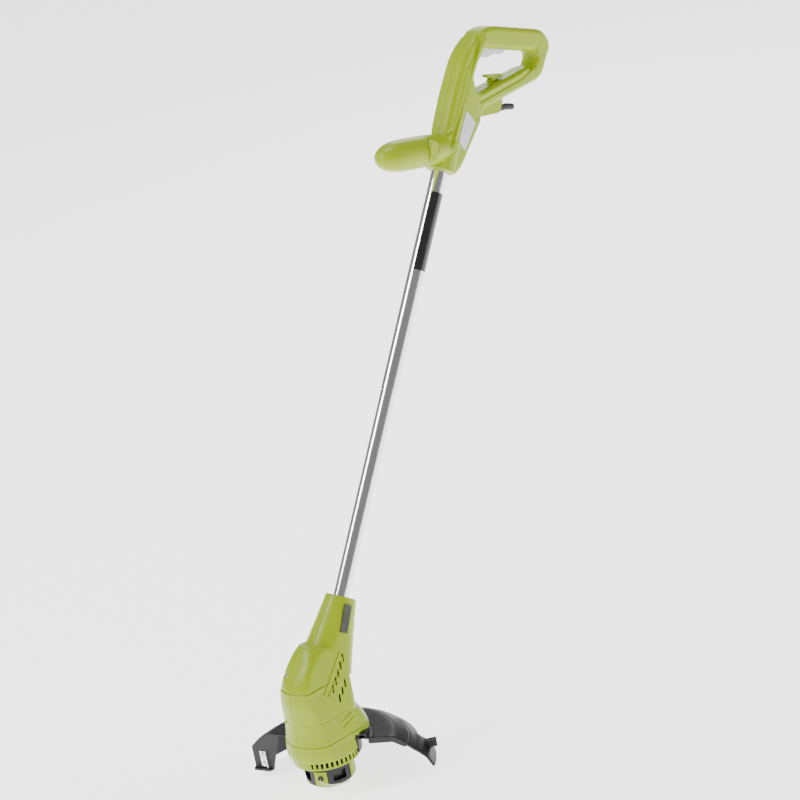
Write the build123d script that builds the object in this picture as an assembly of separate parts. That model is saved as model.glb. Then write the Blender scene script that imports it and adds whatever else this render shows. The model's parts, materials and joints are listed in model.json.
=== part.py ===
from build123d import *
from math import atan2, cos, degrees, hypot, pi, radians, sin, tan
import os

# Corded string trimmer. Millimetres, +Z up along the spool's axis, -Y is the way the
# user faces, +X is the user's left, and the origin is the middle of the rear grip.
#
# Two working frames are used. The handle frame has its origin where the tube enters the
# handle: x is the user's left, y is square to the tube and rearward, z is up the tube.
# The head frame has its origin at the middle of the vent ring's lower rim, with z up.

# ---- driving dimensions: whole object ----
LEAN = 35.0  # tube's lean from the spool's axis
AXIS_CROSSING = 76.3  # height in the head frame where the tube's axis meets the spool's
NECK_REACH = 145.0  # from that crossing up the tube to the head's collar
VISIBLE_TUBE = 590.4  # bare tube between head and handle
SEAM_UP = 282.0  # from the head's collar to the seam between the tubes

# ---- tubes ----
UPPER_TUBE_R = 11.3
LOWER_TUBE_R = 10.9
TUBE_WALL = 1.0
TUBE_IN_HANDLE = 66.0
TUBE_IN_NECK = 48.0
TUBE_LAP = 60.0  # length of the lower tube's neck inside the upper tube
DECAL_LENGTH = 109.0
DECAL_BELOW_HANDLE = 33.0
DECAL_THICK = 0.25
LEAD_R = 2.2

# ---- handle ----
WALL = 2.5
GRIP_HALF = 17.0  # half width of the D-shaped grip
SPINE_HALF = 19.0  # half width of the column's rounded front
COLLAR_R = 20.0
GRIP_REACH = 138.0  # rear bar's middle, square to the tube
GRIP_RISE = 204.0  # rear bar's middle, up the tube
BAR_THICK = 26.0  # rear bar
TOP_BAR_THICK = 31.0
LOWER_BAR_THICK = 25.0
TOP_SLOPE = 17.0  # how much the top bar climbs rearward
LOWER_SLOPE = 37.5
POMMEL_DROOP = 25.0
POMMEL_LENGTH = 133.0
POMMEL_HALF_X = 25.0
POMMEL_HALF_T = 21.5
POMMEL_ROOT = 32.5  # height of the pommel's middle line where it meets the tube's axis
RIB = 4.0

# ---- swivel ----
BUSH_R = 13.0
BUSH_FLANGE_R = 15.6
RUNNING = 0.06  # radial clearance of a running fit
GAP = 0.3  # clearance between moving faces
BUTTON_LONG = 28.0
BUTTON_WIDE = 17.0
BUTTON_TRAVEL = 3.0

# ---- trigger ----
TRIGGER_HALF = 6.5
TRIGGER_LENGTH = 56.0
TRIGGER_PIVOT_UP = 7.0
PLUNGER_ARM = 18.0  # from the trigger's pivot to the switch's plunger
TRIGGER_SWING = 7.0
TRIGGER_PIN_R = 1.5

# ---- head casing ----
SKIRT_R = 50.0
RING_R = 46.0
RING_HEIGHT = 12.5
STEP_HEIGHT = 110.0  # the seam-like step round the casing's front
LOBE_Z = 30.0  # underside of the rear lobe, where the guard seats
SLOT_COUNT = 27
SLOT_PITCH = 8.6
SLOT_START = -71.0
SLOT_WIDTH = 3.2

# ---- motor ----
SHAFT_R = 4.0
BEARING_R = 11.0
BEARING_WIDTH = 7.0
STATOR_R = 28.0
STATOR_LENGTH = 35.0
STATOR_Z = 45.0
ARMATURE_R = 16.4
AIR_GAP = 0.6
FAN_R = 36.0
FAN_BLADES = 11
COMMUTATOR_R = 9.0
BRACKET_Z = 18.0
BRUSH_PLATE_Z = 101.0

# ---- spool ----
DRUM_R = 33.5
DRUM_WALL = 2.0
DRUM_TOP = -2.0
DRUM_HEIGHT = 28.0
CAP_HEIGHT = 6.0
CAP_R = 34.8
ARM_COUNT = 4
ARM_ANGLE = -67.0
LINE_Z = -17.5
LINE_R = 0.7
BUMP_TRAVEL = 4.0
KNOB_R = 12.0
KNOB_DROP = 9.0

# ---- guard ----
GUARD_WALL = 2.5
GUARD_R = 126.0
GUARD_LEFT = 30.0  # azimuth of the edge on the user's left
GUARD_RIGHT = 190.0  # azimuth of the edge that holds the cutter
GUARD_SKIRT = 38.0
CUTTER_R = 107.0

# ---- frames ----
TUBE_DIR = Vector(0, sin(radians(LEAN)), cos(radians(LEAN)))
REAR_DIR = Vector(0, cos(radians(LEAN)), -sin(radians(LEAN)))
HANDLE_ORIGIN = REAR_DIR * -GRIP_REACH + TUBE_DIR * -GRIP_RISE
HEAD_ORIGIN = HANDLE_ORIGIN - TUBE_DIR * (NECK_REACH + VISIBLE_TUBE) - Vector(0, 0, AXIS_CROSSING)
HANDLE = Plane(HANDLE_ORIGIN, x_dir=(1, 0, 0), z_dir=TUBE_DIR).location
HEAD = Pos(*HEAD_ORIGIN)
# The tube's axis in the head frame, with z up the tube from the head's collar.
NECK = Pos(0, 0, AXIS_CROSSING) * Rot(-LEAN, 0, 0) * Pos(0, 0, NECK_REACH)


def rod(radius, low, high, x=0.0, y=0.0):
    """A round bar along z."""
    return Pos(x, y, low) * Cylinder(radius, high - low, align=(Align.CENTER, Align.CENTER, Align.MIN))


def pipe(outer, inner, low, high, x=0.0, y=0.0):
    """A tube along z."""
    return rod(outer, low, high, x, y) - rod(inner, low - 1, high + 1, x, y)


def cross_rod(radius, start, end, y, z):
    """A round bar along x."""
    return Pos(start, y, z) * Rot(0, 90, 0) * rod(radius, 0, end - start)


def block(x0, x1, y0, y1, z0, z1):
    """A box given by its limits."""
    return Pos((x0 + x1) / 2, (y0 + y1) / 2, (z0 + z1) / 2) * Box(x1 - x0, y1 - y0, z1 - z0)


def sector(inner, outer, start, end, low, high):
    """A piece of a thick ring between two azimuths in degrees."""
    span = end - start
    ring = pipe(outer, inner, low, high)
    if span > 175:
        wedge = sector_wedge(end, start + 360, outer)
        return ring - extrude(Pos(0, 0, low - 1) * wedge, high - low + 2)
    return ring & extrude(Pos(0, 0, low - 1) * sector_wedge(start, end, outer), high - low + 2)


def sector_wedge(start, end, radius):
    """A flat triangle or quadrilateral that covers the azimuths from start to end."""
    reach = radius * 2.5
    middle = (start + end) / 2
    corners = [(0, 0)]
    for azimuth in (start, middle, end):
        corners.append((reach * cos(radians(azimuth)), reach * sin(radians(azimuth))))
    return make_face(Polyline(*corners, close=True))


def side_profile(corners, radii):
    """A face in the y-z plane from corners and their rounding radii."""
    outline = FilletPolyline(*[(0, y, z) for y, z in corners], radius=radii, close=True)
    return make_face(outline)


def shifted(corners, amount):
    """The same rounded outline with every side moved inward by amount."""
    points = [Vector(*point) for point, radius in corners]
    ahead = points[1:] + points[:1]
    area = sum(a.X * b.Y - b.X * a.Y for a, b in zip(points, ahead))
    turn_sign = 1 if area > 0 else -1
    result = []
    for index, (point, radius) in enumerate(corners):
        side_in = (points[index] - points[index - 1]).normalized()
        side_out = (ahead[index] - points[index]).normalized()
        normals = Vector(-side_in.Y - side_out.Y, side_in.X + side_out.X) * turn_sign
        moved = points[index] + normals * (amount / (1 + side_in.dot(side_out)))
        convex = (side_in.X * side_out.Y - side_in.Y * side_out.X) * turn_sign > 0
        rounding = max(radius - amount, 0.5) if convex else radius + amount
        result.append(((moved.X, moved.Y), rounding))
    return result


def thick(face, half):
    """A face in the y-z plane made into a plate that is 2 * half wide."""
    return extrude(face, amount=half, dir=(1, 0, 0), both=True)


def halves(shell, reach=400):
    """The left and right halves of a casing that is split on the middle plane."""
    left = shell & block(0, reach, -reach, reach, -reach, reach)
    right = shell & block(-reach, 0, -reach, reach, -reach, reach)
    return left, right


def bent_radii(points):
    """Arc radii for a lead: 0.45 of the shorter run over the tangent of half the turn."""
    radii = []
    for before, here, after in zip(points, points[1:], points[2:]):
        run_in = Vector(*here) - Vector(*before)
        run_out = Vector(*after) - Vector(*here)
        turn = radians(run_in.get_angle(run_out))
        radii.append(0.45 * min(run_in.length, run_out.length) / tan(turn / 2))
    return radii


def bent_rod(name, points, radius):
    """A lead with straight runs and tangent arcs."""
    radii = bent_radii(points)
    path = FilletPolyline(*points, radius=radii)
    start = Plane(path @ 0, z_dir=path % 0)
    solid = sweep(start * Circle(radius), path=path)
    print(name, "length", round(path.length, 1), "radii", [round(r, 1) for r in radii])
    return solid


def coil(radius, wire, length, turns):
    """A helical spring along z, from 0 to length, with the wire's own thickness inside it."""
    pitch = (length - 2 * wire) / turns
    path = Pos(0, 0, wire) * Helix(pitch, pitch * turns, radius)
    start = Plane(path @ 0, z_dir=path % 0)
    return sweep(start * Circle(wire), path=path, is_frenet=True)


def screw(head_r, head_h, shank_r, length):
    """A pan-head screw along -z with its head's underside at z = 0 and a cross recess."""
    body = rod(head_r, 0, head_h) + rod(shank_r, -length, 0)
    recess = block(-head_r * 0.55, head_r * 0.55, -0.4, 0.4, head_h * 0.45, head_h + 1)
    return body - recess - Rot(0, 0, 90) * recess


# ================= handle, in the handle frame =================

def bar_point(u, n):
    """A point given along (u, rearward) and square to (n, up) the top bar's underside."""
    slope = radians(TOP_SLOPE)
    y = TOP_BAR_Y + u * cos(slope) - n * sin(slope)
    z = TOP_BAR_Z + u * sin(slope) + n * cos(slope)
    return y, z


def lower_line(y, offset):
    """Height of the lower bar's upper face at y, less an offset square to the bar."""
    slope = radians(LOWER_SLOPE)
    return LOWER_BAR_Z + (y - LOWER_BAR_Y) * tan(slope) - offset / cos(slope)


COLUMN_FRONT = -23.0
COLUMN_REAR = 9.0
REAR_OUT = GRIP_REACH + BAR_THICK / 2
REAR_IN = GRIP_REACH - BAR_THICK / 2
TOP_BAR_Y = 70.0  # where the trigger's pivot stands above the top bar's underside
TOP_BAR_Z = GRIP_RISE - 9.5
LOWER_BAR_Y = 24.0  # lower front corner of the hand opening
LOWER_BAR_Z = 116.5


def outer_corners():
    """The handle's side outline: corner and rounding radius, from the collar's rear upward."""
    top_front = bar_point(-58, TOP_BAR_THICK)
    top_rear = bar_point(66, TOP_BAR_THICK)
    return [
        ((17, -2), 2),
        ((26, 12), 8),
        ((42, 76), 14),
        ((46, lower_line(46, LOWER_BAR_THICK)), 4),
        ((REAR_OUT - 3, lower_line(REAR_OUT - 3, LOWER_BAR_THICK)), 28),
        ((REAR_OUT, top_rear[1] - 10), 21),
        (top_rear, 30),
        (top_front, 55),
        ((COLUMN_FRONT + 3, 158), 90),
        ((COLUMN_FRONT, 100), 60),
        ((COLUMN_FRONT + 2, 40), 20),
        ((-17, -2), 2),
    ]


def opening_corners():
    """The hand opening's outline: corner and rounding radius."""
    return [
        ((LOWER_BAR_Y, LOWER_BAR_Z), 9),
        ((REAR_IN - 12, lower_line(REAR_IN - 12, 0)), 7),
        ((REAR_IN + 1, GRIP_RISE - 13), 9),
        (bar_point(REAR_IN - TOP_BAR_Y + 5, 0), 8),
        (bar_point(COLUMN_REAR - TOP_BAR_Y + 1, 0), 8),
        ((COLUMN_REAR, 133), 12),
    ]


def pommel_form(inset):
    """The forward pommel, an egg-ended bar that droops forward of the column."""
    stations = [(-4, 19, 17), (25, 23, 20), (58, POMMEL_HALF_X, POMMEL_HALF_T), (90, 25, 21.5)]
    stations += [(112, 22, 19), (125, 16, 14), (POMMEL_LENGTH, 6, 5)]
    sections = []
    droop = radians(POMMEL_DROOP)
    tip_inset = inset * 1.4
    for along, half_x, half_t in stations:
        reach = min(along, POMMEL_LENGTH - tip_inset)
        centre = (0, -reach * cos(droop), POMMEL_ROOT - reach * sin(droop))
        plane = Plane(centre, x_dir=(1, 0, 0), z_dir=(0, -cos(droop), -sin(droop)))
        if along - reach > 0 and along < POMMEL_LENGTH:
            continue
        shrink = inset if along < POMMEL_LENGTH else 2
        sections.append(plane * Ellipse(half_x - shrink, half_t - shrink))
    return loft(sections)


def grip_form(inset):
    """The D grip, the column and the collar as one solid, shrunk by inset on every face."""
    outer = side_profile(*zip(*shifted(outer_corners(), inset)))
    window = side_profile(*zip(*shifted(opening_corners(), -inset)))
    plate = thick(outer, GRIP_HALF - inset) - thick(window, GRIP_HALF + 5)
    rims = [e for e in plate.edges() if abs(abs(e.center().X) - (GRIP_HALF - inset)) < 0.01]
    plate = fillet(rims, 7.5 - inset)
    spine_low = 20
    spine_high = 140
    spine = Plane((0, -6, spine_low)) * Ellipse(SPINE_HALF - inset, 17 - inset)
    plate += extrude(spine, spine_high - spine_low) & thick(outer, SPINE_HALF + 5)
    return plate + rod(COLLAR_R - inset, -2 + inset, 40)


def gland_form(inset):
    """The block below the lower bar that the cord boot leaves."""
    points = [(30, 84), (43, 89), (74, 104), (GLAND_END, 108), (GLAND_END, 126), (60, 128), (30, 110)]
    corners = list(zip(points, [1, 1, 4, 2, 1, 1, 1]))
    return thick(side_profile(*zip(*shifted(corners, inset))), 12.5 - inset)


GLAND_END = 81.0
BOOT_Z = 117.5
BOOT_R = 5.0
BOOT_BORE_R = 3.4
PANEL_CORNERS = [(5.5, 42), (6.5, 86), (30, 76), (22, 33)]
BUTTON_Y = -48.0
BUTTON_Z = 12.0
BUTTON_FACE = 26.4
SCREW_SPOTS = [(-86, -20), (27, 50), (34, 88), (-15, 112), (134, 183), (138, 232), (92, 223)]


def oval(width, length, x0, x1, y, z, tilt=20):
    """An oval prism along x."""
    form = extrude(SlotOverall(length, width), x1 - x0)
    return Pos(x0, y, z) * Rot(tilt, 0, 0) * Rot(0, 90, 0) * form


def trigger_slot():
    """The opening under the top bar that the trigger passes through."""
    corners = [bar_point(8, -12), bar_point(8, 3), bar_point(-59, 3), bar_point(-59, -14)]
    face = make_face(Polyline(*[(0, y, z) for y, z in corners], close=True))
    return thick(face, TRIGGER_HALF + GAP)


def handle_halves():
    outer = grip_form(0) + pommel_form(0) + gland_form(0)
    cavity = grip_form(WALL) + pommel_form(WALL) + gland_form(WALL)
    for low in (4.0, FLANGE_LOW - 0.3 - RIB, FLANGE_LOW + RIB + 0.3, TUBE_IN_HANDLE - 8):
        cavity -= block(-60, 60, -19, 60, low, low + RIB)
    for y, z in SCREW_SPOTS:
        cavity -= cross_rod(BOSS_OUT_R, -40, 40, y, z)
    cavity -= cross_rod(3.0, -40, -8, BUTTON_Y, BUTTON_Z)
    cavity -= pin_bosses()
    cavity += rod(BUSH_R + RUNNING, -5, TUBE_IN_HANDLE)
    cavity += pipe(BUSH_FLANGE_R + GAP, BUSH_R, FLANGE_LOW - 0.3, FLANGE_LOW + RIB + 0.3)
    shell = outer - cavity
    for y, z in SCREW_SPOTS:
        shell -= cross_rod(1.3, -SCREW_SEAT - 1, 10, y, z)
        shell -= cross_rod(1.75, -SCREW_SEAT - 1, 0, y, z)
        shell -= cross_rod(3.3, -40, -SCREW_SEAT, y, z)
    shell -= oval(BUTTON_WIDE + 2 * GAP, BUTTON_LONG + 2 * GAP, 8, 40, BUTTON_Y, BUTTON_Z)
    shell -= trigger_slot()
    shell -= cross_rod(TRIGGER_PIN_R + 0.02, -12.5, 12.5, *bar_point(0, TRIGGER_PIVOT_UP))
    shell -= Pos(0, GLAND_END - WALL - 1, BOOT_Z) * Rot(-90, 0, 0) * rod(BOOT_R + 0.05, 0, 10)
    for side in (-1, 1):
        shell -= side_panel(side, 0.1)
    shell -= hook_root(0.05)
    return halves(shell)


SCREW_SEAT = 11.0  # depth of each casing screw's head, from the middle plane
BOSS_OUT_R = 4.6
FLANGE_LOW = 22.0


def pin_bosses():
    """The two sleeves that hold the trigger's pin."""
    y, z = bar_point(0, TRIGGER_PIVOT_UP)
    near = TRIGGER_HALF + GAP
    return cross_rod(4, near, 15, y, z) + cross_rod(4, -15, -near, y, z)


def handle_screws():
    screws = []
    for y, z in SCREW_SPOTS:
        shape = Pos(-SCREW_SEAT, y, z) * Rot(0, -90, 0) * screw(3.0, 2.0, 1.25, 19)
        screws.append(shape)
    return screws


def side_panel(side, grow=0.0):
    """A light inlay in the side of the handle; grow makes the pocket it sits in."""
    corners = list(zip(PANEL_CORNERS, [2, 2, 2, 2]))
    face = side_profile(*zip(*shifted(corners, -grow)))
    depth = 1.2
    plate = extrude(face, amount=depth + 3, dir=(1, 0, 0))
    plate = Pos(GRIP_HALF - depth, 0, 0) * plate
    if not grow:
        plate &= block(0, GRIP_HALF + 0.2, -100, 100, -100, 200)
    return plate if side > 0 else mirror(plate, about=Plane.YZ)


HOOK_Y = 62.0


def hook_root(grow):
    """The foot of the cord hook, clamped in the lower bar's upper wall."""
    z = lower_line(HOOK_Y, 0)
    tilt = Pos(0, HOOK_Y, z) * Rot(LOWER_SLOPE, 0, 0)
    return tilt * block(-4 - grow, 4 + grow, -7 - grow, 7 + grow, -WALL - 1 - grow, 1)


def cord_hook():
    """A forward-facing hook on a short post, for a loop of extension cord."""
    z = lower_line(HOOK_Y, 0)
    tilt = Pos(0, HOOK_Y, z) * Rot(LOWER_SLOPE, 0, 0)
    foot = tilt * block(-4, 4, -7, 7, -WALL - 1, 0.05) + tilt * block(-4, 4, -5, 6, -1, 4.5)
    corners = [(54.5, z - 3), (70, z + 8), (75, z + 12), (73, z + 16), (45, z + 4.5), (45, z + 0.5), (57, z + 3.5)]
    face = side_profile(corners, [0.6, 0.6, 1, 2, 1.5, 1.5, 0.8])
    return foot + thick(face, 5)


def cord_boot():
    """The rubber strain relief, flanged inside the gland block and bored for the cord."""
    inner_end = GLAND_END - WALL - 6
    outer_end = GLAND_END + 36
    body = rod(BOOT_R, inner_end, GLAND_END + 6) + Cone_along(GLAND_END + 6, outer_end)
    body += rod(BOOT_R + 0.9, inner_end, GLAND_END - WALL - 0.1)
    body -= rod(BOOT_BORE_R, inner_end - 1, outer_end + 1)
    return Pos(0, 0, BOOT_Z) * Rot(-90, 0, 0) * body


def Cone_along(low, high):
    """The boot's tapered stretch with a rounded end."""
    taper = Pos(0, 0, (low + high) / 2) * Cone(BOOT_R, BOOT_R - 0.6, high - low)
    return fillet(taper.edges().sort_by(Axis.Z)[-1], 0.7)


LEAD_RUN = [(-3.2, -3, 134), (-3.2, -4, 152), (-3.2, -3, 170), (-3.2, 3, 186)]


def lead_end(side):
    """The last two points of a lead that ends on the switch's front face."""
    far = bar_point(SWITCH_FRONT - 14, SWITCH_LOW + 5)
    near = bar_point(SWITCH_FRONT, SWITCH_LOW + 5)
    return [(side * 3.2, *far), (side * 3.2, *near)]


def mains_lead():
    inner_end = GLAND_END - WALL - 6
    points = [(0, inner_end - 0.4, BOOT_Z), (0, 54, 114), (-1, 26, 107.5), (-3.2, 6, 116)]
    points += LEAD_RUN + lead_end(-1)
    return bent_rod("mains_lead", points, LEAD_R)


def switched_lead():
    points = [(0, 0, TUBE_IN_HANDLE + 4), (0, 0, 84), (1.6, -2, 101), (3.2, -3.5, 118)]
    points += [(-x, y, z) for x, y, z in LEAD_RUN] + lead_end(1)
    return bent_rod("switched_lead", points, LEAD_R)


CLAMP_Y = 50.0
CLAMP_SCREW_X = 6.6


def cord_clamp():
    """A bridge that pins the mains lead where it enters the handle."""
    bridge = block(-9, 9, CLAMP_Y - 4, CLAMP_Y + 4, 108, 113)
    bridge -= Pos(0, CLAMP_Y, 112.7) * Rot(-81, 0, 0) * rod(LEAD_R + 0.3, -8, 8)
    for x in (-CLAMP_SCREW_X, CLAMP_SCREW_X):
        bridge -= rod(1.0, 100, 120, x, CLAMP_Y)
    return bridge


def clamp_screws():
    return [Pos(x, CLAMP_Y, 113) * screw(2.0, 1.4, 0.9, 4.9) for x in (-CLAMP_SCREW_X, CLAMP_SCREW_X)]


SWITCH_FRONT = -40.0
SWITCH_REAR = -8.0
SWITCH_LOW = 17.5
SWITCH_HIGH = 27.0


def bar_block(x0, x1, u0, u1, n0, n1):
    """A box in the top bar's own directions."""
    origin = bar_point(0, 0)
    return Pos(0, *origin) * Rot(TOP_SLOPE, 0, 0) * block(x0, x1, u0, u1, n0, n1)


def bar_rod(radius, u, n0, n1):
    """A round bar square to the top bar."""
    origin = bar_point(0, 0)
    return Pos(0, *origin) * Rot(TOP_SLOPE, 0, 0) * rod(radius, n0, n1, 0, u)


def switch_body():
    body = bar_block(-7, 7, SWITCH_FRONT, SWITCH_REAR, SWITCH_LOW, SWITCH_HIGH)
    return body - bar_rod(1.5 + RUNNING, -PLUNGER_ARM, SWITCH_LOW - 1, SWITCH_HIGH - 2)


def switch_plunger():
    return bar_rod(1.5, -PLUNGER_ARM, 8.3, SWITCH_HIGH - 5)


def trigger():
    """The light grey trigger with two finger humps, pivoted at its rear."""
    outline = [(5, 3.5, 1), (-3, -2, 2), (-14, -7, 6), (-25, -5.5, 6), (-40, -12, 7)]
    outline += [(-53, -11.5, 3), (-TRIGGER_LENGTH, -5, 3), (-TRIGGER_LENGTH + 9, 2, 1)]
    outline += [(-TRIGGER_LENGTH + 9, 8, 0.6), (-8, 8, 1)]
    outline += [(-5, 11.5, 2), (5, 11.5, 3)]
    corners = [bar_point(u, n) for u, n, r in outline]
    face = side_profile(corners, [r for u, n, r in outline])
    body = thick(face, TRIGGER_HALF)
    return body - cross_rod(TRIGGER_PIN_R + RUNNING, -10, 10, *bar_point(0, TRIGGER_PIVOT_UP))


def trigger_pin():
    return cross_rod(TRIGGER_PIN_R, -12.4, 12.4, *bar_point(0, TRIGGER_PIVOT_UP))


def trigger_spring():
    origin = bar_point(0, 0)
    place = Pos(0, *origin) * Rot(TOP_SLOPE, 0, 0) * Pos(0, -31, 8.1)
    return place * coil(2.4, 0.45, SWITCH_LOW - 8.2, 4)


def swivel_button():
    """The oval lock button and the stem its spring sits round."""
    cap = oval(BUTTON_WIDE, BUTTON_LONG, 15, BUTTON_FACE, BUTTON_Y, BUTTON_Z)
    cap = fillet(cap.edges().group_by(Axis.X)[-1], 1.2)
    stem = cross_rod(3.4, 4, 15, BUTTON_Y, BUTTON_Z)
    return cap + stem


def button_spring():
    return Pos(-7.9, BUTTON_Y, BUTTON_Z) * Rot(0, 90, 0) * coil(2.4, 0.45, 11.7, 5)


def swivel_bush():
    sleeve = rod(BUSH_R, -1, TUBE_IN_HANDLE - 1) + rod(BUSH_FLANGE_R, FLANGE_LOW, FLANGE_LOW + RIB)
    for side in (-1, 1):
        sleeve -= block(-2.5, 2.5, side * 17 - 2.2, side * 17 + 2.2, FLANGE_LOW - 1, FLANGE_LOW + RIB + 1)
    return sleeve - rod(UPPER_TUBE_R + 0.02, -2, TUBE_IN_HANDLE)


# ================= tubes, in the handle frame =================

SEAM_Z = SEAM_UP - VISIBLE_TUBE


def upper_tube():
    tube = pipe(UPPER_TUBE_R, UPPER_TUBE_R - TUBE_WALL, SEAM_Z, TUBE_IN_HANDLE)
    return tube - joint_hole()


def joint_hole():
    return Pos(0, 0, SEAM_Z + 14) * Rot(90, 0, 0) * rod(1.5, -UPPER_TUBE_R - 2, 0)


def lower_tube():
    low = -VISIBLE_TUBE - TUBE_IN_NECK
    neck_r = UPPER_TUBE_R - TUBE_WALL - 0.03
    outer = rod(LOWER_TUBE_R, low, SEAM_Z - 0.6) + rod(neck_r, SEAM_Z - 0.6, SEAM_Z + TUBE_LAP)
    bore = rod(neck_r - TUBE_WALL, low - 1, SEAM_Z + TUBE_LAP + 1)
    return outer - bore - joint_hole()


def tube_screw():
    inside = UPPER_TUBE_R - 5
    head = UPPER_TUBE_R + 0.02
    shank = rod(1.45, inside, head) + rod(2.7, head, head + 1.2)
    return Pos(0, 0, SEAM_Z + 14) * Rot(-90, 0, 0) * (shank - block(-2, 2, -0.35, 0.35, head + 0.6, head + 2))


def tube_decal():
    """A plain wrap-round label on the left and front of the upper tube."""
    high = -DECAL_BELOW_HANDLE
    inner = UPPER_TUBE_R + 0.01
    return sector(inner, inner + DECAL_THICK, -75, 85, high - DECAL_LENGTH, high)


def motor_lead():
    """The lead from the swivel down the tube to the brush plate."""
    bottom = Vector(0, 20, BRUSH_PLATE_Z + 3)
    crossing = Vector(0, 0, AXIS_CROSSING)
    points = [bottom, bottom + Vector(0, 0, 14), crossing + TUBE_DIR * 92]
    points.append(crossing + TUBE_DIR * (NECK_REACH + VISIBLE_TUBE + TUBE_IN_HANDLE + 4))
    shifted = [p + HEAD_ORIGIN for p in points]
    tuples = [(p.X, p.Y, p.Z) for p in shifted]
    radii = [13, 90]
    path = FilletPolyline(*tuples, radius=radii)
    start = Plane(path @ 0, z_dir=path % 0)
    print("motor_lead length", round(path.length, 1), "radii", radii)
    return sweep(start * Circle(LEAD_R), path=path)


# ================= head, in the head frame =================

def ellipse_at(y, z, half_x, half_y, tilt):
    """A level or tilted ellipse whose plane leans rearward by tilt."""
    normal = (0, sin(radians(tilt)), cos(radians(tilt)))
    return Plane((0, y, z), x_dir=(1, 0, 0), z_dir=normal) * Ellipse(half_x, half_y)


def up_tube(distance):
    """A point on the tube's axis, that far from where it crosses the spool's axis."""
    return distance * sin(radians(LEAN)), AXIS_CROSSING + distance * cos(radians(LEAN))


def casing_form(inset, floor):
    """The casing's outer form, shrunk by inset; floor is the height it starts at."""
    body = loft([
        ellipse_at(0, floor, SKIRT_R - inset, SKIRT_R - inset, 0),
        ellipse_at(1, 34, SKIRT_R - 0.5 - inset, SKIRT_R - inset, 0),
        ellipse_at(4, 70, SKIRT_R - 3 - inset, SKIRT_R - 1 - inset, 0),
        ellipse_at(6, STEP_HEIGHT, SKIRT_R - 4 - inset, SKIRT_R - 3 - inset, 0),
        ellipse_at(14, STEP_HEIGHT + 23, 38 - inset, 39 - inset, 6),
        ellipse_at(22, STEP_HEIGHT + 43 - inset, 22 - inset, 24 - inset, 14),
    ])
    low = up_tube(48)
    middle = up_tube(90)
    high = up_tube(NECK_REACH - inset)
    neck = loft([
        ellipse_at(*low, 36 - inset, 38 - inset, LEAN),
        ellipse_at(*middle, 28 - inset, 31 - inset, LEAN),
        ellipse_at(*high, 20.5 - inset, 21 - inset, LEAN),
    ])
    lobe = loft([
        ellipse_at(14, max(LOBE_Z, floor), 56 - inset, 51 - inset, 0),
        ellipse_at(13, LOBE_Z + 8 - inset, 55 - inset, 51 - inset, 0),
        ellipse_at(4, LOBE_Z + 36 - inset, SKIRT_R - 6 - inset, SKIRT_R - 6 - inset, 0),
    ])
    return body + neck + lobe


CASING_SCREWS = [(-38, 66), (-26, 128), (42, 84), (85, 168)]
GUARD_LEFT_SEAT = 16.0
GUARD_RIGHT_SEAT = 194.0


def side_vents(side):
    """Two slanting rows of air slots in the side of the casing."""
    slots = []
    for row, count in ((0, 5), (1, 3)):
        for index in range(count):
            y = 5 + index * 8 + row * 6
            z = 104 + index * 7 - row * 17
            slots.append(Pos(side * 40, y, z) * Rot(-12, 0, 0) * Box(40, 3.0, 11))
    return slots


def head_halves():
    floor = RING_HEIGHT
    shell = casing_form(0, floor) - casing_form(WALL, floor - 1)
    inner_wall = pipe(RING_R - 0.05, RING_R - WALL, floor, LOBE_Z + 4)
    ledge = pipe(RING_R - 1, RING_R - 8, BRACKET_Z - 3, BRACKET_Z)
    seat_cut = sector(RING_R, 90, GUARD_LEFT_SEAT, GUARD_RIGHT_SEAT, floor - 2, LOBE_Z)
    shell -= seat_cut
    lobe_floor = pipe(70, RING_R - 1, LOBE_Z, LOBE_Z + WALL) & casing_form(0.01, floor)
    shell += inner_wall + ledge + lobe_floor
    for start in (-TUBE_IN_NECK + 2, -RIB - WALL):
        web = NECK * rod(34, start, start + RIB)
        shell += web & casing_form(0.5, floor)
    for y, z in CASING_SCREWS:
        shell += cross_rod(BOSS_OUT_R, -60, 60, y, z) & casing_form(0.3, floor)
    shell -= NECK * rod(LOWER_TUBE_R + 0.03, -TUBE_IN_NECK, 6)
    shell -= NECK * rod(LEAD_R + 6, -TUBE_IN_NECK - 20, -TUBE_IN_NECK + 1)
    for y, z in CASING_SCREWS:
        shell -= cross_rod(1.3, -SCREW_SEAT - 1, 10, y, z)
        shell -= cross_rod(1.75, -SCREW_SEAT - 1, 0, y, z)
        shell -= cross_rod(3.3, -60, -SCREW_SEAT, y, z)
    for side in (-1, 1):
        for slot in side_vents(side):
            shell -= slot
    shell -= head_badge(0.1)
    for spot in guard_screw_spots():
        shell -= rod(1.45, LOBE_Z - 1, LOBE_Z + WALL + 8, *spot)
    return halves(shell)


def casing_screws():
    screws = []
    for y, z in CASING_SCREWS:
        screws.append(Pos(-SCREW_SEAT, y, z) * Rot(0, -90, 0) * screw(3.0, 2.0, 1.25, 19))
    return screws


def head_badge(grow=0.0):
    """A plain dark plate let into the left side of the neck."""
    face = extrude(Rectangle(11 + 2 * grow, 37 + 2 * grow), 2.2)
    place = NECK * Rot(0, 0, -15) * Pos(22.9, 0, -28) * Rot(0, 90, 0) * Rot(0, 0, 90)
    return place * Rot(-8, 0, 0) * face


def vent_ring():
    """The slotted ring at the casing's foot, with an inner lip round the spool."""
    ring = pipe(RING_R, RING_R - WALL, 0, RING_HEIGHT)
    ring += pipe(RING_R - 1, DRUM_R + 3, 0, 2)
    for index in range(SLOT_COUNT):
        angle = SLOT_START + index * SLOT_PITCH
        ring -= Rot(0, 0, angle) * block(RING_R - 6, RING_R + 3, -SLOT_WIDTH / 2, SLOT_WIDTH / 2, 3, 10.5)
    return ring


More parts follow.
